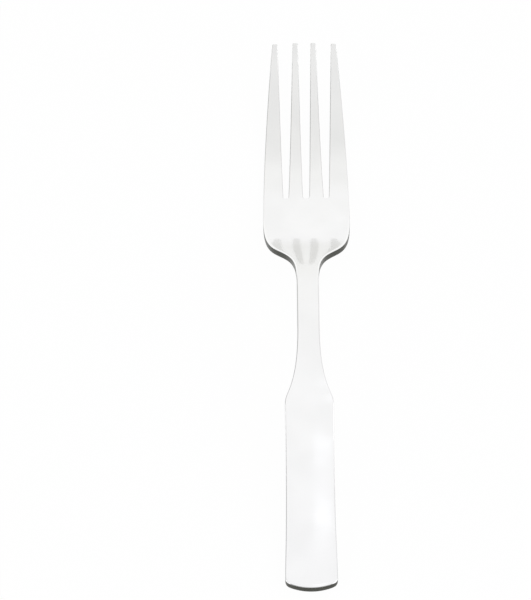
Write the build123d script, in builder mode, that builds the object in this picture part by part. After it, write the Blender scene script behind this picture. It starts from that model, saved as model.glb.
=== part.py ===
import os
from math import asin, atan, cos, radians, sin, tan

from build123d import *

# Lengths along the fork, from the handle's end to the tips
handle_length = 55.0
handle_flank = 23.2
neck_length = 15.9
root_flank = 32.8
palm_length = 10.1
tine_length = 53.0

# Widths across the fork
handle_end_width = 15.16
handle_waist_width = 14.18
handle_front_width = 14.28
neck_width = 6.54
head_width = 26.46

# The rounded end of the handle, and how gradually each flank leaves one width and meets the next
end_bulge = 1.9
end_corner = 2.0
shoulder_lead = 3.5
handle_neck_lead = 18.7
root_neck_lead = 22.6
head_corner_lead = 23.9

# Tines from left to right, the slots between them, and how much shorter the outer tines are
tine_names = ["tine_left_outer", "tine_left_inner", "tine_right_inner", "tine_right_outer"]
inner_tine_root_width = 4.4
tine_tip_width = 1.7
middle_slot_root_width = 2.0
middle_slot_tip_width = 3.95
side_slot_root_width = 1.65
side_slot_tip_width = 4.7
slot_end_round = 0.5
tip_drop = 0.35

# Side profile of the underside: slopes in degrees, and where they lie beside the lengths above
shoulder_slope = 18.0
crest_behind = 2.0
crest_bend = 8.5
root_top_slope = -31.0
root_foot_behind = 14.9
root_foot_slope = -30.0
palm_slope = -12.0
palm_ahead = 1.1
tip_slope = 28.0

# Thickness of the steel at the same places
end_thickness = 2.5
shoulder_thickness = 2.7
crest_thickness = 3.2
root_top_thickness = 3.0
root_foot_thickness = 2.6
palm_thickness = 2.1
tip_thickness = 1.3

# Edges: rounded corners at the tips, and a small bevel along every rim
tip_round = 0.6
rim_bevel = 0.3

# Where the handle's region ends, past its shoulders, and stock that is cut away outside the outline
handle_shoulder = 15.0
margin = 3.0

# What tells the upright walls from the broad faces, and their rims from their upright edges
wall_tilt = 0.1
rim_tilt = 0.9

neck_start = handle_length + handle_flank
neck_end = neck_start + neck_length
head_widest = neck_end + root_flank
slot_root = head_widest + palm_length
overall_length = slot_root + tine_length
crest = neck_end - crest_behind
root_top = crest + crest_bend
root_foot = head_widest - root_foot_behind
palm = head_widest + palm_ahead
side_slot_root = middle_slot_root_width / 2 + inner_tine_root_width + side_slot_root_width / 2
side_slot_tip = middle_slot_tip_width / 2 + tine_tip_width + side_slot_tip_width / 2
half_tip_span = side_slot_tip + side_slot_tip_width / 2 + tine_tip_width


def rise(run, turn_before, turn_after):
    # The height that an arc gains over a run while it turns from one slope to the next
    return run * tan((turn_before + turn_after) / 2)


# The handle's end slopes so that it comes down to the table where the bowl of the head rests
bowl_radius = (overall_length - palm) / (sin(radians(tip_slope)) - sin(radians(palm_slope)))
palm_rise = bowl_radius * (1 - cos(radians(palm_slope)))
foot_rise = palm_rise - rise(palm - root_foot, radians(root_foot_slope), radians(palm_slope))
top_rise = foot_rise - rise(root_foot - root_top, radians(root_top_slope), radians(root_foot_slope))
crest_rise = top_rise - rise(root_top - crest, 0, radians(root_top_slope))
shoulder_rise = crest_rise - rise(crest - handle_length, radians(shoulder_slope), 0)
end_turn = 2 * atan(shoulder_rise / handle_length) - radians(shoulder_slope)
handle_radius = handle_length / (sin(radians(shoulder_slope)) - sin(end_turn))

# The first and last arcs run on past the handle's end and the tips
end_reach = asin(sin(end_turn) - margin / handle_radius)
tip_reach = asin(sin(radians(tip_slope)) + margin / bowl_radius)

# Bent and tapered blank: arcs along the underside, and arcs through the thicknesses on top
stations = [
    (-margin, end_reach, end_thickness),
    (handle_length, radians(shoulder_slope), shoulder_thickness),
    (crest, 0, crest_thickness),
    (root_top, radians(root_top_slope), root_top_thickness),
    (root_foot, radians(root_foot_slope), root_foot_thickness),
    (palm, radians(palm_slope), palm_thickness),
    (overall_length + margin, tip_reach, tip_thickness),
]
with BuildSketch(Plane.YZ) as side_view:
    with BuildLine():
        under = Vector(-margin, -rise(margin, end_reach, end_turn))
        heading = Vector(cos(end_reach), sin(end_reach))
        top = under + Vector(-heading.Y, heading.X) * end_thickness
        top_heading = heading
        Line(under, top)
        for (start, before, _), (end, after, thickness) in zip(stations, stations[1:]):
            step = Vector(end - start, rise(end - start, before, after))
            under_arc = TangentArc(under, under + step, tangent=heading)
            under = under_arc @ 1
            heading = under_arc % 1
            top_arc = TangentArc(top, under + Vector(-heading.Y, heading.X) * thickness, tangent=top_heading)
            top = top_arc @ 1
            top_heading = top_arc % 1
        Line(under, top)
    make_face()

# Slots between the tines, rounded at the root and opening towards the tips
slot_shapes = [
    (-side_slot_root, side_slot_root_width, -side_slot_tip, side_slot_tip_width),
    (0, middle_slot_root_width, 0, middle_slot_tip_width),
    (side_slot_root, side_slot_root_width, side_slot_tip, side_slot_tip_width),
]
with BuildSketch() as slots:
    for root_middle, root_width, tip_middle, tip_width in slot_shapes:
        Polygon(
            (root_middle - root_width / 2, slot_root),
            (root_middle + root_width / 2, slot_root),
            (tip_middle + tip_width / 2, overall_length),
            (tip_middle + tip_width / 2, overall_length + margin),
            (tip_middle - tip_width / 2, overall_length + margin),
            (tip_middle - tip_width / 2, overall_length),
            align=None,
        )
    fillet(slots.vertices().group_by(Axis.Y)[0], slot_end_round)

# Outline of the fork seen from above, with the slots taken out and its corners rounded
with BuildSketch() as outline:
    with BuildLine():
        side = ThreePointArc(
            (handle_end_width / 2, end_bulge),
            (handle_waist_width / 2, (end_bulge + handle_length) / 2),
            (handle_front_width / 2, handle_length),
        )
        handle_curve = Bezier(
            side @ 1,
            side @ 1 + shoulder_lead * (side % 1),
            (neck_width / 2, neck_start - handle_neck_lead),
            (neck_width / 2, neck_start),
        )
        neck_side = Line(handle_curve @ 1, (neck_width / 2, neck_end))
        root_curve = Bezier(
            neck_side @ 1,
            (neck_width / 2, neck_end + root_neck_lead),
            (head_width / 2, head_widest - head_corner_lead),
            (head_width / 2, head_widest),
        )
        head_side = TangentArc(root_curve @ 1, (half_tip_span, overall_length - tip_drop), tangent=(0, 1))
        mirror(about=Plane.YZ)
        ThreePointArc((-handle_end_width / 2, end_bulge), (0, 0), (handle_end_width / 2, end_bulge))
        ThreePointArc(head_side @ 1, (0, overall_length), (-(head_side @ 1).X, (head_side @ 1).Y))
    make_face()
    fillet(outline.vertices().group_by(Axis.Y)[0], end_corner)
    add(slots.sketch, mode=Mode.SUBTRACT)
    fillet(outline.vertices().sort_by(Axis.Y)[-2 * len(tine_names):], tip_round)

# The whole piece of steel: the blank cut to its outline, with a bevel along its rims
with BuildPart() as fork:
    extrude(side_view.sketch, amount=head_width, both=True)
    extrude(outline.sketch, amount=overall_length, both=True, mode=Mode.INTERSECT)
    walls = fork.faces().filter_by(lambda face: abs(face.normal_at().Z) < wall_tilt)
    chamfer(walls.edges().filter_by(lambda edge: abs((edge % 0.5).Z) < rim_tilt), rim_bevel)

# The fork stands with the middle of its length over the origin, on the table
box = fork.part.bounding_box()
shift = Vector(0, -box.center().Y, -box.min.Z)
with BuildPart() as seated:
    with Locations(shift):
        add(fork.part)


def square_cut(place):
    # A plane across the fork at a distance from the handle's end, facing the tips
    return Plane((0, place + shift.Y, 0), x_dir=(1, 0, 0), z_dir=(0, 1, 0))


handle_cut = square_cut(handle_length + handle_shoulder)
crest_cut = square_cut(crest)
tine_cut = square_cut(slot_root + middle_slot_root_width)

os.makedirs("parts", exist_ok=True)

# Handle, from its rounded end past its shoulders
with BuildPart() as handle:
    add(seated.part)
    split(bisect_by=handle_cut, keep=Keep.BOTTOM)

# Neck, up to the crest
with BuildPart() as neck:
    add(seated.part)
    split(bisect_by=handle_cut, keep=Keep.TOP)
    split(bisect_by=crest_cut, keep=Keep.BOTTOM)

# Head, with its root, its palm and the ends of the slots
with BuildPart() as head:
    add(seated.part)
    split(bisect_by=crest_cut, keep=Keep.TOP)
    split(bisect_by=tine_cut, keep=Keep.BOTTOM)

for region, name in [(handle, "handle"), (neck, "neck"), (head, "head")]:
    region.part.label = name
    export_step(region.part, f"parts/{name}.step")

# Tines, from left to right
with BuildPart() as tines:
    add(seated.part)
    split(bisect_by=tine_cut, keep=Keep.TOP)

for solid, name in zip(tines.solids().sort_by(Axis.X), tine_names):
    with BuildPart() as tine:
        add(solid)
    tine.part.label = name
    export_step(tine.part, f"parts/{name}.step")
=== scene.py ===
import math

import bmesh
import bpy
from mathutils import Matrix, Vector
from mathutils.geometry import interpolate_bezier


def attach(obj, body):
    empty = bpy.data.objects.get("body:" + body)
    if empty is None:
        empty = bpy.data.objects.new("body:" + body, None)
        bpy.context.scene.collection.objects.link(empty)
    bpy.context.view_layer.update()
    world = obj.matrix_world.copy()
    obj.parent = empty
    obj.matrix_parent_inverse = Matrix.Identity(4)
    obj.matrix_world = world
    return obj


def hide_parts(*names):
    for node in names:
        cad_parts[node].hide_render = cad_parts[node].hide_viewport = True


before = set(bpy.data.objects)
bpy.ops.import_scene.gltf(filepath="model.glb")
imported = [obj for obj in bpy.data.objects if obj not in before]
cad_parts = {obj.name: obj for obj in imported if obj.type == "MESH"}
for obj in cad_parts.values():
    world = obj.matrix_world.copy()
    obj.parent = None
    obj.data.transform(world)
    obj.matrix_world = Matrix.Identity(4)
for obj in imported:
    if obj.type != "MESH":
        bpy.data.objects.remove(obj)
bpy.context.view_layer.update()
print("frame loaded", sorted(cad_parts))

# The fork is drawn flat in millimetres from the handle's end, then bent, then cut into its pieces
forkPlan = {
    "length": 190.0,
    "handleFront": 55.0,
    "neckStart": 78.2,
    "neckEnd": 94.1,
    "headWidest": 126.9,
    "slotRoot": 137.0,
    "endHalf": 7.58,
    "waistHalf": 7.09,
    "frontHalf": 7.14,
    "neckHalf": 3.27,
    "headHalf": 13.23,
    "tines": 4,
    "endBulge": 1.9,
    "endCorner": 2.0,
    "shoulderLead": 3.5,
    "handleNeckLead": 18.7,
    "rootNeckLead": 22.6,
    "headCornerLead": 23.9,
    "innerTineRoot": 4.4,
    "tineTip": 1.7,
    "middleSlot": (2.0, 3.95),  # width at the root and at the tips
    "sideSlot": (1.65, 4.7),
    "tipDrop": 0.35,
    "slotRound": 0.5,
    "tipRound": 0.4,
}
forkSide = {  # place, slope of the underside in degrees, thickness
    "end": (0.0, None, 2.5),
    "shoulder": (55.0, 18.0, 2.7),
    "crest": (92.1, 0.0, 3.2),
    "rootTop": (100.6, -31.0, 3.0),
    "rootFoot": (112.0, -30.0, 2.6),
    "palm": (128.0, -12.0, 2.1),
    "tip": (190.0, 28.0, 1.3),
}
forkCrown = {  # how strongly the top is domed across, and where that changes along the fork
    "handle": 1 / 130,
    "handleFades": (43.0, 55.0),
    "neck": 1 / 45,
    "neckGrows": (63.0, 78.0),
    "rootFades": (96.0, 114.0),
}
forkMesh = {
    "columns": (0.0, 0.07, 0.18, 0.3, 0.42, 0.58, 0.7, 0.82, 0.93),  # shares of each tine and slot
    "rowStep": 0.9,
    "seamRow": 0.15,
    "topSoft": 2.5,
    "endBlend": 14.0,
    "tipBlend": 4.0,
    "slotBlend": 5.0,
    "slotReach": 2.0,
    "rimSegments": 4,
    "rimDepth": 0.28,
    # between these places the rims carry a painted highlight
    "paintedHighlightRim": (92.0, 136.0),
    "wallTilt": 0.5,
    "weld": 0.0001,
}
forkRim = [  # place along the fork, and how wide the rounded rim is there
    (0.0, 0.22),
    (50.0, 0.24),
    (78.0, 0.3),
    (98.0, 0.32),
    (106.0, 0.64),
    (122.0, 0.64),
    (134.0, 0.24),
    (190.0, 0.2),
]
cutPlaces = {"handle": 70.0, "crest": 92.1, "tines": 139.0}
tipSpan = forkPlan["tines"] * forkPlan["tineTip"] + forkPlan["middleSlot"][1] + 2 * forkPlan["sideSlot"][1]


def quadraticHandles(start, middle, end):
    # Cubic handles of the shallow arc through three points
    control = 2 * middle - (start + end) / 2
    return start + (control - start) * 2 / 3, end + (control - end) * 2 / 3


def outlinePoints():
    # Half width against the place along the fork, from the handle's end to the widest part of the head
    p = forkPlan
    start = Vector((p["endHalf"], p["endBulge"], 0))
    front = Vector((p["frontHalf"], p["handleFront"], 0))
    middle = Vector((p["waistHalf"], (p["endBulge"] + p["handleFront"]) / 2, 0))
    first, second = quadraticHandles(start, middle, front)
    side = interpolate_bezier(start, first, second, front, 40)
    neck = Vector((p["neckHalf"], p["neckStart"], 0))
    lead = front + (front - second).normalized() * p["shoulderLead"]
    flank = interpolate_bezier(front, lead, neck - Vector((0, p["handleNeckLead"], 0)), neck, 60)
    neckEnd = Vector((p["neckHalf"], p["neckEnd"], 0))
    wide = Vector((p["headHalf"], p["headWidest"], 0))
    root = interpolate_bezier(neckEnd, neckEnd + Vector((0, p["rootNeckLead"], 0)),
                              wide - Vector((0, p["headCornerLead"], 0)), wide, 80)
    return side + flank[1:] + root


outline = outlinePoints()


def halfWidth(place):
    p = forkPlan
    if place >= p["headWidest"]:
        run = p["length"] - p["tipDrop"] - p["headWidest"]
        drop = p["headHalf"] - tipSpan / 2
        radius = (run * run + drop * drop) / (2 * drop)
        along = place - p["headWidest"]
        return p["headHalf"] - radius + math.sqrt(radius * radius - along * along)
    for before, after in zip(outline, outline[1:]):
        if place <= after.y:
            share = (place - before.y) / (after.y - before.y)
            return before.x + (after.x - before.x) * share
    return outline[-1].x


def arcHeight(place, arc):
    # Height on an arc given by its start, its start slope, its end and its end slope
    (startY, startZ), startSlope, (endY, endZ), endSlope = arc
    turn = math.sin(endSlope) - math.sin(startSlope)
    if abs(turn) < 1e-6:
        return startZ + (place - startY) * math.tan(startSlope)
    radius = (endY - startY) / turn
    now = math.sin(startSlope) + (place - startY) / radius
    now = max(-0.95, min(0.95, now))
    return startZ + radius * (math.cos(startSlope) - math.sqrt(1 - now * now))


def sideArcs():
    # The underside comes down to the table at the bowl and at the handle's end
    stations = list(forkSide.values())
    last = len(stations) - 1
    slope = [None] + [math.radians(station[1]) for station in stations[1:]]
    place = [station[0] for station in stations]
    palm = last - 1
    bowlRadius = (place[last] - place[palm]) / (math.sin(slope[last]) - math.sin(slope[palm]))
    height = [0.0] * (last + 1)
    height[palm] = bowlRadius * (1 - math.cos(slope[palm]))
    height[last] = bowlRadius * (1 - math.cos(slope[last]))
    for i in range(palm - 1, 0, -1):
        height[i] = height[i + 1] - (place[i + 1] - place[i]) * math.tan((slope[i] + slope[i + 1]) / 2)
    slope[0] = 2 * math.atan(height[1] / place[1]) - slope[1]
    points = list(zip(place, height))
    under = list(zip(points, slope, points[1:], slope[1:]))
    upper = []
    for (y, z), turn, (_, _, thick) in zip(points, slope, stations):
        upper.append((y - math.sin(turn) * thick, z + math.cos(turn) * thick))
    top = []
    heading = slope[0]
    for start, end in zip(upper, upper[1:]):
        chord = math.atan2(end[1] - start[1], end[0] - start[0])
        after = 2 * chord - heading
        top.append((start, heading, end, after))
        heading = after
    return under, top


underArcs, topArcs = sideArcs()


def heightOn(arcs, place):
    for arc in arcs:
        if place <= arc[2][0]:
            return arcHeight(place, arc)
    return arcHeight(place, arcs[-1])


def topHeight(place):
    # The top arcs run softly into each other
    near = [place + forkMesh["topSoft"] * step / 4 for step in range(-4, 5)]
    return sum(heightOn(topArcs, spot) for spot in near) / len(near)


def endPoint(share):
    # Point on the handle's rounded end, from the middle at 0 to the side at 1 or -1
    p = forkPlan
    half = halfWidth(p["endBulge"] + p["endCorner"])
    big = (p["endHalf"] ** 2 + p["endBulge"] ** 2) / (2 * p["endBulge"])
    small = p["endCorner"]
    centreX = half - small
    centreY = big - math.sqrt((big - small) ** 2 - centreX ** 2)
    meet = math.asin(centreX / (big - small))
    longRun = big * meet
    whole = longRun + small * (math.pi / 2 - meet)
    run = abs(share) * whole
    if run <= longRun:
        x, y = big * math.sin(run / big), big * (1 - math.cos(run / big))
    else:
        angle = meet + (run - longRun) / small
        x, y = centreX + small * math.sin(angle), centreY - small * math.cos(angle)
    return math.copysign(x, share), y, centreY


def columnPlaces(place):
    # Where the lines along the fork lie across it: four tines with a slot between each two
    p = forkPlan
    share = max(0.0, (place - p["slotRoot"]) / (p["length"] - p["slotRoot"]))
    tine = p["innerTineRoot"] + (p["tineTip"] - p["innerTineRoot"]) * share
    middle = p["middleSlot"][0] + (p["middleSlot"][1] - p["middleSlot"][0]) * share
    side = p["sideSlot"][0] + (p["sideSlot"][1] - p["sideSlot"][0]) * share
    half = halfWidth(max(place, p["slotRoot"]))
    edges = [middle / 2, middle / 2 + tine, middle / 2 + tine + side, half]
    edges = [-edge for edge in reversed(edges)] + edges
    lines = []
    for left, right in zip(edges, edges[1:]):
        lines += [left + (right - left) * step for step in forkMesh["columns"]]
    lines.append(edges[-1])
    scale = halfWidth(place) / half
    return [line * scale for line in lines], [edge * scale for edge in edges]


def rowPlaces():
    # Rows along the fork, with a thin row on each side of every seam
    p, m = forkPlan, forkMesh
    seams = list(cutPlaces.values())
    stops = sorted(seams + [endPoint(1.0)[2], p["slotRoot"], p["length"]])
    rows = set(stops)
    for start, end in zip(stops, stops[1:]):
        low = start + m["seamRow"] * (start in seams)
        high = end - m["seamRow"] * (end in seams)
        count = max(1, round((high - low) / m["rowStep"]))
        rows.update([low, high] + [low + (high - low) * step / count for step in range(1, count)])
    return sorted(rows)


def fade(distance, reach):
    return max(0.0, 1 - distance / reach) ** 2


def ease(value, start, end):
    share = min(1.0, max(0.0, (value - start) / (end - start)))
    return share * share * (3 - 2 * share)


def crownAt(place):
    # The handle and neck are a little domed across, and the shoulders and palm are flat
    c = forkCrown
    handle = c["handle"] * (1 - ease(place, *c["handleFades"]))
    return handle + c["neck"] * ease(place, *c["neckGrows"]) * (1 - ease(place, *c["rootFades"]))


def rimWidth(place):
    for (start, before), (end, after) in zip(forkRim, forkRim[1:]):
        if place <= end:
            return before + (after - before) * max(0.0, (place - start) / (end - start))
    return forkRim[-1][1]


def thickness(x, place):
    return topHeight(place) - heightOn(underArcs, place) - crownAt(place) * x ** 2 / 2


def makeGrid(rows):
    # A grid over the whole fork with the slots left out, and the column and row of each vertex
    across = len(forkMesh["columns"])
    columns = (2 * forkPlan["tines"] - 1) * across
    bm = bmesh.new()
    bm.verts.layers.int.new("rim")
    bmesh.ops.create_grid(bm, x_segments=columns, y_segments=len(rows) - 1, size=1.0)
    grid = {}
    for vert in bm.verts:
        column = round((vert.co.x + 1) / 2 * columns)
        row = round((vert.co.y + 1) / 2 * (len(rows) - 1))
        grid[vert] = (column, row)
    slotRow = rows.index(forkPlan["slotRoot"])
    slots = []
    for face in bm.faces:
        column = min(grid[vert][0] for vert in face.verts)
        row = min(grid[vert][1] for vert in face.verts)
        if column // across % 2 and row >= slotRow:
            slots.append(face)
    bmesh.ops.delete(bm, geom=slots, context="FACES")
    return bm, {vert: grid[vert] for vert in bm.verts}


def drawFork(grid, rows):
    # Each vertex of the grid goes to its place on the flat fork
    p, m = forkPlan, forkMesh
    layout = [columnPlaces(row) for row in rows]
    for vert, (column, row) in grid.items():
        place = rows[row]
        lines, edges = layout[row]
        x, y = lines[column], place
        # rounded end of the handle
        endX, endY, endSide = endPoint(lines[column] / lines[-1])
        near = fade(place - rows[0], m["endBlend"])
        x += (endX - x) * near
        y += (endY - endSide) * near
        # rounded ends of the slots
        for slot in range(p["tines"] - 1):
            left, right = edges[2 * slot + 1], edges[2 * slot + 2]
            middle, half = (left + right) / 2, (right - left) / 2
            off = abs(x - middle)
            flat = half - p["slotRound"]
            if off <= half:
                lift = p["slotRound"] - math.sqrt(max(0.0, p["slotRound"] ** 2 - max(0.0, off - flat) ** 2))
            else:
                lift = p["slotRound"] * fade(off - half, m["slotReach"])
            y += lift * fade(abs(place - p["slotRoot"]), m["slotBlend"])
        # the outer tines are a little shorter, and the corners of the tips are rounded
        y -= p["tipDrop"] * (x / (tipSpan / 2)) ** 2 * fade(p["length"] - place, m["tipBlend"])
        for tine in range(p["tines"]):
            left, right = edges[2 * tine], edges[2 * tine + 1]
            middle, half = (left + right) / 2, (right - left) / 2
            off = abs(x - middle) - (half - p["tipRound"])
            if 0 < off <= p["tipRound"] * 1.001:
                drop = p["tipRound"] - math.sqrt(max(0.0, p["tipRound"] ** 2 - off ** 2))
                y -= drop * fade(p["length"] - place, m["tipBlend"])
        vert.co = (x, y, 0)


def traceRim(bm, grid):
    # The outline in order: each vertex with its place and the way in across the rim
    edge = next(edge for edge in bm.edges if edge.is_boundary)
    vert = edge.link_loops[0].vert
    outer = []
    while not outer or vert != outer[0]:
        outer.append(vert)
        vert = edge.other_vert(vert)
        edge = next(other for other in vert.link_edges if other.is_boundary and other != edge)
    rim = {}
    for before, vert, after in zip(outer[-1:] + outer[:-1], outer, outer[1:] + outer[:1]):
        came = (vert.co - before.co).normalized()
        goes = (after.co - vert.co).normalized()
        inward = Vector((-came.y - goes.y, came.x + goes.x, 0)) / (1 + came.dot(goes))
        if grid[before][1] != grid[vert][1] != grid[after][1]:
            inward = Vector((inward.length / inward.x, 0, 0))  # along its row, so that rows stay straight
        rim[vert] = (vert.co.copy(), inward * rimWidth(vert.co.y))
    return rim


def insetGrid(grid, rim):
    # The grid is drawn in from the outline by the rim's width, evenly across each row
    rows = {}
    for vert, (column, row) in sorted(grid.items(), key=lambda item: item[1]):
        rows.setdefault(row, []).append(vert)
    shift = {vert: inward for vert, (place, inward) in rim.items()}
    for line in rows.values():
        ends = [index for index, vert in enumerate(line) if vert in rim]
        for first, last in zip(ends, ends[1:]):
            left, right = line[first], line[last]
            for vert in line[first + 1:last]:
                share = (vert.co.x - left.co.x) / (right.co.x - left.co.x)
                shift[vert] = shift[left].lerp(shift[right], share)
    for vert, move in shift.items():
        vert.co += move


def drawRim(bm, edges, rim):
    # The top's edge is drawn out over the rounded rim, down the wall and in again underneath
    m = forkMesh
    layer = bm.verts.layers.int["rim"]
    for index, vert in enumerate(rim):
        vert[layer] = index
    spots = list(rim.values())
    turns = [math.pi / 2 * step / m["rimSegments"] for step in range(m["rimSegments"] + 1)]
    rings = [(turn, True) for turn in turns[1:]] + [(turn, False) for turn in reversed(turns)]
    for turn, upper in rings:
        made = bmesh.ops.extrude_edge_only(bm, edges=edges)["geom"]
        edges = [item for item in made if isinstance(item, bmesh.types.BMEdge)]
        for item in made:
            if isinstance(item, bmesh.types.BMVert):
                place, inward = spots[item[layer]]
                spot = place + inward * (1 - math.sin(turn))
                sunk = min(rimWidth(place.y), m["rimDepth"]) * (1 - math.cos(turn))
                spot.z = thickness(spot.x, spot.y) - sunk if upper else sunk
                item.co = spot
            elif isinstance(item, bmesh.types.BMFace):
                # the rims start with the steel that carries the painted highlight
                item.material_index = 2


def makeBlank():
    m = forkMesh
    rows = rowPlaces()
    bm, grid = makeGrid(rows)
    drawFork(grid, rows)
    rim = traceRim(bm, grid)
    insetGrid(grid, rim)
    edges = [edge for edge in bm.edges if edge.is_boundary]
    bmesh.ops.duplicate(bm, geom=bm.verts[:] + bm.edges[:] + bm.faces[:])
    for vert in grid:
        vert.co.z = thickness(vert.co.x, vert.co.y)
    drawRim(bm, edges, rim)
    bmesh.ops.remove_doubles(bm, verts=bm.verts[:], dist=m["weld"])
    bmesh.ops.recalc_face_normals(bm, faces=bm.faces[:])
    # polished faces, sheared walls darkened with painted shade, and rims lightened with a painted highlight
    # between these places
    low, high = m["paintedHighlightRim"]
    for face in bm.faces:
        if abs(face.normal.z) < m["wallTilt"]:
            face.material_index = 1
        elif not low < face.calc_center_median().y < high:
            face.material_index = 0
    # bend
    for vert in bm.verts:
        vert.co.z += heightOn(underArcs, vert.co.y)
    bmesh.ops.translate(bm, verts=bm.verts[:], vec=(0, -forkPlan["length"] / 2, 0))
    bmesh.ops.scale(bm, verts=bm.verts[:], vec=(0.001, 0.001, 0.001))
    bmesh.ops.recalc_face_normals(bm, faces=bm.faces[:])
    return bm


blank = makeBlank()
print("blank made,", len(blank.faces), "faces")


def cutPiece(name, node, start, end, left=None, right=None):
    # One piece of the blank between two cuts, closed at the cuts
    bm = blank.copy()
    offset = -forkPlan["length"] / 2
    for place, side in ((start, -1), (end, 1)):
        if place is None:
            continue
        geom = bm.verts[:] + bm.edges[:] + bm.faces[:]
        done = bmesh.ops.bisect_plane(bm, geom=geom, dist=1e-7, plane_co=(0, (place + offset) * 0.001, 0),
                                      plane_no=(0, side, 0), clear_outer=True)
        rim = [item for item in done["geom_cut"] if isinstance(item, bmesh.types.BMEdge)]
        bmesh.ops.edgenet_fill(bm, edges=rim)
    if left is not None:
        away = [face for face in bm.faces if not left < face.calc_center_median().x * 1000 < right]
        bmesh.ops.delete(bm, geom=away, context="FACES")
    bmesh.ops.recalc_face_normals(bm, faces=bm.faces[:])
    for face in bm.faces:
        face.smooth = True
    for edge in bm.edges:
        edge.smooth = edge.calc_face_angle(0) < math.radians(40)
    mesh = bpy.data.meshes.new(name)
    bm.to_mesh(mesh)
    bm.free()
    piece = bpy.data.objects.new(name, mesh)
    bpy.context.scene.collection.objects.link(piece)
    weighted = piece.modifiers.new("evenShading", "WEIGHTED_NORMAL")
    weighted.keep_sharp = True
    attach(piece, "root")
    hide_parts(node)
    print("piece", name, len(mesh.polygons), "faces")
    return piece


pitch = forkPlan["middleSlot"][0] / 2 + forkPlan["innerTineRoot"] + forkPlan["sideSlot"][0] / 2
headSide = forkPlan["headHalf"]
pieces = [
    cutPiece("polishedHandle", "handle", None, cutPlaces["handle"]),
    cutPiece("archedNeck", "neck", cutPlaces["handle"], cutPlaces["crest"]),
    cutPiece("dishedHead", "head", cutPlaces["crest"], cutPlaces["tines"]),
    cutPiece("leftOuterTine", "tine_left_outer", cutPlaces["tines"], None, -headSide, -pitch),
    cutPiece("leftInnerTine", "tine_left_inner", cutPlaces["tines"], None, -pitch, 0),
    cutPiece("rightInnerTine", "tine_right_inner", cutPlaces["tines"], None, 0, pitch),
    cutPiece("rightOuterTine", "tine_right_outer", cutPlaces["tines"], None, pitch, headSide),
]
blank.free()


def addNode(tree, kind, inputs=None, **settings):
    node = tree.nodes.new(kind)
    for key, value in settings.items():
        setattr(node, key, value)
    for key, value in (inputs or {}).items():
        node.inputs[key].default_value = value
    return node


def makeMarks():
    # Fine polishing lines, soft smudges from handling, and the share of the way along the fork
    group = bpy.data.node_groups.new("steelMarks", "ShaderNodeTree")
    face = group.interface
    face.new_socket("Stretch", in_out="INPUT", socket_type="NodeSocketVector")
    face.new_socket("Lines", in_out="OUTPUT", socket_type="NodeSocketFloat")
    face.new_socket("Smudges", in_out="OUTPUT", socket_type="NodeSocketFloat")
    face.new_socket("Along", in_out="OUTPUT", socket_type="NodeSocketFloat")
    inside = addNode(group, "NodeGroupInput")
    outside = addNode(group, "NodeGroupOutput")
    place = addNode(group, "ShaderNodeTexCoord")
    scaled = addNode(group, "ShaderNodeVectorMath", operation="MULTIPLY")
    lines = addNode(group, "ShaderNodeTexNoise", {"Scale": 1.0, "Detail": 3.0, "Roughness": 0.6})
    smudges = addNode(group, "ShaderNodeTexNoise", {"Scale": 85.0, "Detail": 2.0, "Roughness": 0.45})
    link = group.links.new
    link(place.outputs["Object"], scaled.inputs[0])
    link(inside.outputs["Stretch"], scaled.inputs[1])
    link(scaled.outputs["Vector"], lines.inputs["Vector"])
    link(place.outputs["Object"], smudges.inputs["Vector"])
    link(lines.outputs["Fac"], outside.inputs["Lines"])
    link(smudges.outputs["Fac"], outside.inputs["Smudges"])
    half = forkPlan["length"] / 2000
    axes = addNode(group, "ShaderNodeSeparateXYZ")
    along = addNode(group, "ShaderNodeMapRange", {"From Min": -half, "From Max": half})
    link(place.outputs["Object"], axes.inputs["Vector"])
    link(axes.outputs["Y"], along.inputs["Value"])
    link(along.outputs["Result"], outside.inputs["Along"])
    return group


steelMarks = makeMarks()

polish = {
    "finishAndPaintedLight": [  # place along the fork in millimetres, colour there, roughness there; the colours are painted shade and highlight, darker at the root and tines and lighter on the handle and palm
        (0.0, (0.935, 0.935, 0.942), 0.08),
        (60.0, (0.94, 0.94, 0.942), 0.08),
        (92.0, (0.925, 0.925, 0.92), 0.09),
        (100.0, (0.885, 0.885, 0.872), 0.13),
        (105.0, (0.885, 0.885, 0.872), 0.07),
        (112.0, (0.885, 0.885, 0.872), 0.055),
        (118.0, (0.945, 0.945, 0.943), 0.055),
        (136.0, (0.935, 0.935, 0.932), 0.08),
        (146.0, (0.895, 0.895, 0.886), 0.14),
        (160.0, (0.835, 0.835, 0.826), 0.2),  # the tines are rougher, and their colour is painted darker as painted shade
        (190.0, (0.845, 0.845, 0.84), 0.2),
    ],
    "paintedRimHighlight": [  # painted highlight: the rims at the root of the head are painted lighter
        (92.0, (0.925, 0.925, 0.92), 0.09),
        (100.0, (0.98, 0.98, 0.975), 0.05),
        (118.0, (0.98, 0.98, 0.975), 0.05),
        (136.0, (0.935, 0.935, 0.932), 0.08),
    ],
    "stretch": (3600, 70, 900),
    "smudge": 0.035,
    "lineRoughness": 0.03,
    "smudgeRoughness": 0.02,
    "waves": 0.00003,
    "lines": 0.0000015,
}


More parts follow.
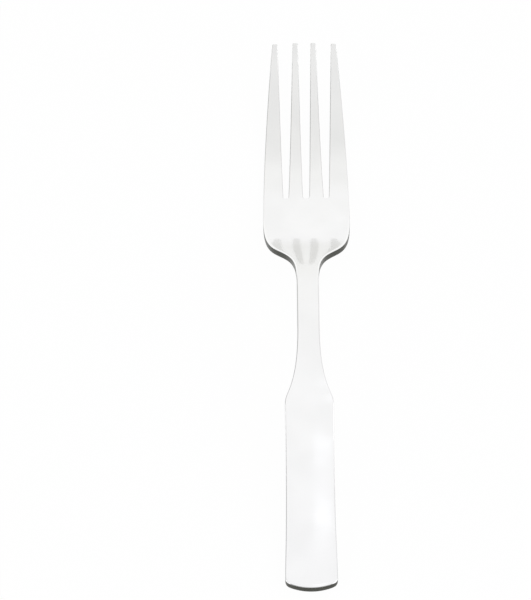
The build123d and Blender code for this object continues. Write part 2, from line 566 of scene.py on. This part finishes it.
def makePolish(name, finishAndPaintedLight):
    material = bpy.data.materials.new(name)
    material.use_nodes = True
    tree = material.node_tree
    link = tree.links.new
    shader = tree.nodes["Principled BSDF"]
    shader.inputs["Metallic"].default_value = 1.0
    marks = addNode(tree, "ShaderNodeGroup", node_tree=steelMarks)
    marks.inputs["Stretch"].default_value = polish["stretch"]
    colour = addNode(tree, "ShaderNodeValToRGB")
    rough = addNode(tree, "ShaderNodeValToRGB")
    for ramp, pick in ((colour.color_ramp, 1), (rough.color_ramp, 2)):
        ramp.interpolation = "EASE"
        while len(ramp.elements) < len(finishAndPaintedLight):
            ramp.elements.new(0.5)
        for element, stop in zip(ramp.elements, finishAndPaintedLight):
            element.position = stop[0] / forkPlan["length"]
            element.color = (*stop[1], 1) if pick == 1 else (stop[2], stop[2], stop[2], 1)
    link(marks.outputs["Along"], colour.inputs["Fac"])
    link(marks.outputs["Along"], rough.inputs["Fac"])
    dim = addNode(tree, "ShaderNodeMapRange", {"From Min": 0.35, "From Max": 0.65})
    dim.inputs["To Min"].default_value = 1.0
    dim.inputs["To Max"].default_value = 1 - polish["smudge"]
    link(marks.outputs["Smudges"], dim.inputs["Value"])
    tone = addNode(tree, "ShaderNodeVectorMath", operation="SCALE")
    link(colour.outputs["Color"], tone.inputs[0])
    link(dim.outputs["Result"], tone.inputs["Scale"])
    link(tone.outputs["Vector"], shader.inputs["Base Color"])
    lined = addNode(tree, "ShaderNodeMath", operation="MULTIPLY_ADD")
    lined.inputs[1].default_value = polish["lineRoughness"]
    link(marks.outputs["Lines"], lined.inputs[0])
    link(rough.outputs["Color"], lined.inputs[2])
    smudged = addNode(tree, "ShaderNodeMath", operation="MULTIPLY_ADD")
    smudged.inputs[1].default_value = polish["smudgeRoughness"]
    link(marks.outputs["Smudges"], smudged.inputs[0])
    link(lined.outputs["Value"], smudged.inputs[2])
    link(smudged.outputs["Value"], shader.inputs["Roughness"])
    waves = addNode(tree, "ShaderNodeBump", {"Strength": 1.0, "Distance": polish["waves"]})
    link(marks.outputs["Smudges"], waves.inputs["Height"])
    scratches = addNode(tree, "ShaderNodeBump", {"Strength": 1.0, "Distance": polish["lines"]})
    link(marks.outputs["Lines"], scratches.inputs["Height"])
    link(waves.outputs["Normal"], scratches.inputs["Normal"])
    link(scratches.outputs["Normal"], shader.inputs["Normal"])
    return material


cutEdgeAndShade = {
    # dark and light are painted shade on the walls, mixed by the drag lines
    "dark": (0.032, 0.033, 0.026, 1),
    "light": (0.085, 0.086, 0.072, 1),
    "tine": (0.28, 0.28, 0.27, 1),  # the tines' edges get lighter painted shade
    "lighterTineShade": (0.715, 0.79),  # shares of the length between which the lighter painted shade of the tines starts
    "stretch": (2600, 2600, 260),
    "roughness": (0.3, 0.46),
    "grain": 0.00002,
}


def makeCutAndShade():
    # The sheared edge, duller than the faces, with upright drag lines; its dark colour is painted shade
    material = bpy.data.materials.new("cutSteelPaintedShade")
    material.use_nodes = True
    tree = material.node_tree
    link = tree.links.new
    shader = tree.nodes["Principled BSDF"]
    shader.inputs["Metallic"].default_value = 1.0
    marks = addNode(tree, "ShaderNodeGroup", node_tree=steelMarks)
    marks.inputs["Stretch"].default_value = cutEdgeAndShade["stretch"]
    tone = addNode(tree, "ShaderNodeMix", data_type="RGBA")
    tone.inputs["A"].default_value = cutEdgeAndShade["dark"]
    tone.inputs["B"].default_value = cutEdgeAndShade["light"]
    link(marks.outputs["Lines"], tone.inputs["Factor"])
    start, end = cutEdgeAndShade["lighterTineShade"]
    lighterTineShade = addNode(tree, "ShaderNodeMapRange", {"From Min": start, "From Max": end},
                     interpolation_type="SMOOTHSTEP")
    link(marks.outputs["Along"], lighterTineShade.inputs["Value"])
    edge = addNode(tree, "ShaderNodeMix", data_type="RGBA")
    edge.inputs["B"].default_value = cutEdgeAndShade["tine"]
    link(lighterTineShade.outputs["Result"], edge.inputs["Factor"])
    link(tone.outputs["Result"], edge.inputs["A"])
    link(edge.outputs["Result"], shader.inputs["Base Color"])
    low, high = cutEdgeAndShade["roughness"]
    rough = addNode(tree, "ShaderNodeMapRange",
                    {"From Min": 0.3, "From Max": 0.7, "To Min": low, "To Max": high})
    link(marks.outputs["Smudges"], rough.inputs["Value"])
    link(rough.outputs["Result"], shader.inputs["Roughness"])
    grain = addNode(tree, "ShaderNodeBump", {"Strength": 1.0, "Distance": cutEdgeAndShade["grain"]})
    link(marks.outputs["Lines"], grain.inputs["Height"])
    link(grain.outputs["Normal"], shader.inputs["Normal"])
    return material


# Polished steel with painted shade along the fork, the cut walls with painted shade, and the rims at the
# head's root with a painted highlight
steels = [
    makePolish("polishedSteel", polish["finishAndPaintedLight"]),
    makeCutAndShade(),
    makePolish("paintedHighlightSteel", polish["paintedRimHighlight"]),
]
for piece in pieces:
    for steel in steels:
        piece.data.materials.append(steel)
print("steel set on", len(pieces), "pieces")

# White paper that the fork lies on
paper = {"half": 3.0, "colour": (0.98, 0.98, 0.98, 1), "white": 0.965}


def makePaper():
    mesh = bpy.data.meshes.new("whitePaper")
    bm = bmesh.new()
    bmesh.ops.create_grid(bm, x_segments=1, y_segments=1, size=paper["half"])
    bm.to_mesh(mesh)
    bm.free()
    sheet = bpy.data.objects.new("whitePaper", mesh)
    bpy.context.scene.collection.objects.link(sheet)
    material = bpy.data.materials.new("paperWhite")
    material.use_nodes = True
    tree = material.node_tree
    link = tree.links.new
    shader = tree.nodes["Principled BSDF"]
    shader.inputs["Base Color"].default_value = paper["colour"]
    shader.inputs["Roughness"].default_value = 0.9
    shader.inputs["Specular IOR Level"].default_value = 0.0
    seen = addNode(tree, "ShaderNodeLightPath")
    eitherRay = addNode(tree, "ShaderNodeMath", operation="MAXIMUM")
    link(seen.outputs["Is Camera Ray"], eitherRay.inputs[0])
    link(seen.outputs["Is Glossy Ray"], eitherRay.inputs[1])
    anyRay = addNode(tree, "ShaderNodeMath", operation="MAXIMUM")
    link(eitherRay.outputs["Value"], anyRay.inputs[0])
    link(seen.outputs["Is Transmission Ray"], anyRay.inputs[1])
    share = addNode(tree, "ShaderNodeMath", operation="MULTIPLY")
    share.inputs[1].default_value = paper["white"]
    link(anyRay.outputs["Value"], share.inputs[0])
    white = addNode(tree, "ShaderNodeEmission", {"Color": (1, 1, 1, 1), "Strength": 1.0})
    mixed = addNode(tree, "ShaderNodeMixShader")
    link(share.outputs["Value"], mixed.inputs["Fac"])
    link(shader.outputs["BSDF"], mixed.inputs[1])
    link(white.outputs["Emission"], mixed.inputs[2])
    link(mixed.outputs["Shader"], tree.nodes["Material Output"].inputs["Surface"])
    mesh.materials.append(material)


makePaper()

# Soft studio: white overhead and behind, and greyer at the front and sides
studio = {  # where each side starts and ends on its axis, and how much darker it is there
    "left": ("X", -0.1, -0.75, 0.8),
    "right": ("X", 0.35, 0.9, 0.5),
    "front": ("Y", -0.36, -0.72, 0.6),
    "paleHorizon": (0.25, 0.45),  # the left and right sides stay pale up to this height
}


def makeStudio():
    world = bpy.data.worlds.new("studio")
    bpy.context.scene.world = world
    world.use_nodes = True
    tree = world.node_tree
    link = tree.links.new
    background = tree.nodes["Background"]
    background.inputs["Color"].default_value = (1, 1, 1, 1)
    place = addNode(tree, "ShaderNodeTexCoord")
    axes = addNode(tree, "ShaderNodeSeparateXYZ")
    link(place.outputs["Generated"], axes.inputs["Vector"])
    drops = {}
    for side in ("left", "right", "front"):
        axis, start, end, amount = studio[side]
        drop = addNode(tree, "ShaderNodeMapRange", {"From Min": start, "From Max": end, "To Max": amount},
                       interpolation_type="SMOOTHSTEP")
        link(axes.outputs[axis], drop.inputs["Value"])
        drops[side] = drop.outputs["Result"]
    low, high = studio["paleHorizon"]
    above = addNode(tree, "ShaderNodeMapRange", {"From Min": low, "From Max": high},
                    interpolation_type="SMOOTHSTEP")
    link(axes.outputs["Z"], above.inputs["Value"])
    both = addNode(tree, "ShaderNodeMath", operation="ADD")
    link(drops["left"], both.inputs[0])
    link(drops["right"], both.inputs[1])
    sides = addNode(tree, "ShaderNodeMath", operation="MULTIPLY_ADD")
    link(both.outputs["Value"], sides.inputs[0])
    link(above.outputs["Result"], sides.inputs[1])
    link(drops["front"], sides.inputs[2])
    level = addNode(tree, "ShaderNodeMath", operation="SUBTRACT")
    level.inputs[0].default_value = 1.0
    link(sides.outputs["Value"], level.inputs[1])
    link(level.outputs["Value"], background.inputs["Strength"])


makeStudio()


def addSoftbox(name, place, aim, size, radiance, colour):
    data = bpy.data.lights.new(name, "AREA")
    data.shape = "RECTANGLE"
    data.size, data.size_y = size
    data.color = colour
    data.energy = math.pi * size[0] * size[1] * radiance
    lamp = bpy.data.objects.new(name, data)
    bpy.context.scene.collection.objects.link(lamp)
    lamp.location = place
    lamp.rotation_euler = (Vector(aim) - Vector(place)).to_track_quat("-Z", "Y").to_euler()


softboxes = [  # name, place, aim, size, radiance and colour
    ("leftSoftbox", (-1.2, -0.5, 0.85), (0, 0, 0), (1.5, 0.7), 1.8, (1, 1, 1)),
    ("rightSoftbox", (1.2, -0.5, 0.85), (0, 0, 0), (1.5, 0.7), 1.8, (1, 1, 1)),
    ("nearPanel", (0.0216, -0.05, 0.3), (0.0216, -0.05, 0), (0.028, 0.01), 0.16, (0.9, 0.92, 1)),
    ("farPanel", (0.0216, -0.026, 0.3), (0.0216, -0.026, 0), (0.028, 0.012), 0.16, (0.9, 0.92, 1)),
]
for softbox in softboxes:
    addSoftbox(*softbox)
print("studio lit")

# Camera at the photograph's angle
cameraView = {
    "elevation": 56.0,
    "turn": 0.687,
    "roll": -1.168,
    "distance": 1.0,
    "focal": 3304.0,  # in pixels of the image's width
    "imageWidth": 531,
    "sensor": 36.0,
    "target": (-0.01271, 0.00573, 0.0),
}
cameraData = bpy.data.cameras.new("camera")
cameraData.sensor_fit = "HORIZONTAL"
cameraData.sensor_width = cameraView["sensor"]
cameraData.lens = cameraView["focal"] / cameraView["imageWidth"] * cameraView["sensor"]
camera = bpy.data.objects.new("camera", cameraData)
bpy.context.scene.collection.objects.link(camera)
turned = Matrix.Rotation(math.radians(cameraView["turn"]), 3, "Z")
turned @= Matrix.Rotation(math.radians(90 - cameraView["elevation"]), 3, "X")
turned @= Matrix.Rotation(math.radians(cameraView["roll"]), 3, "Z")
camera.rotation_euler = turned.to_euler()
camera.location = Vector(cameraView["target"]) + turned.col[2] * cameraView["distance"]
bpy.context.scene.camera = camera

bpy.context.scene.view_settings.view_transform = "Standard"
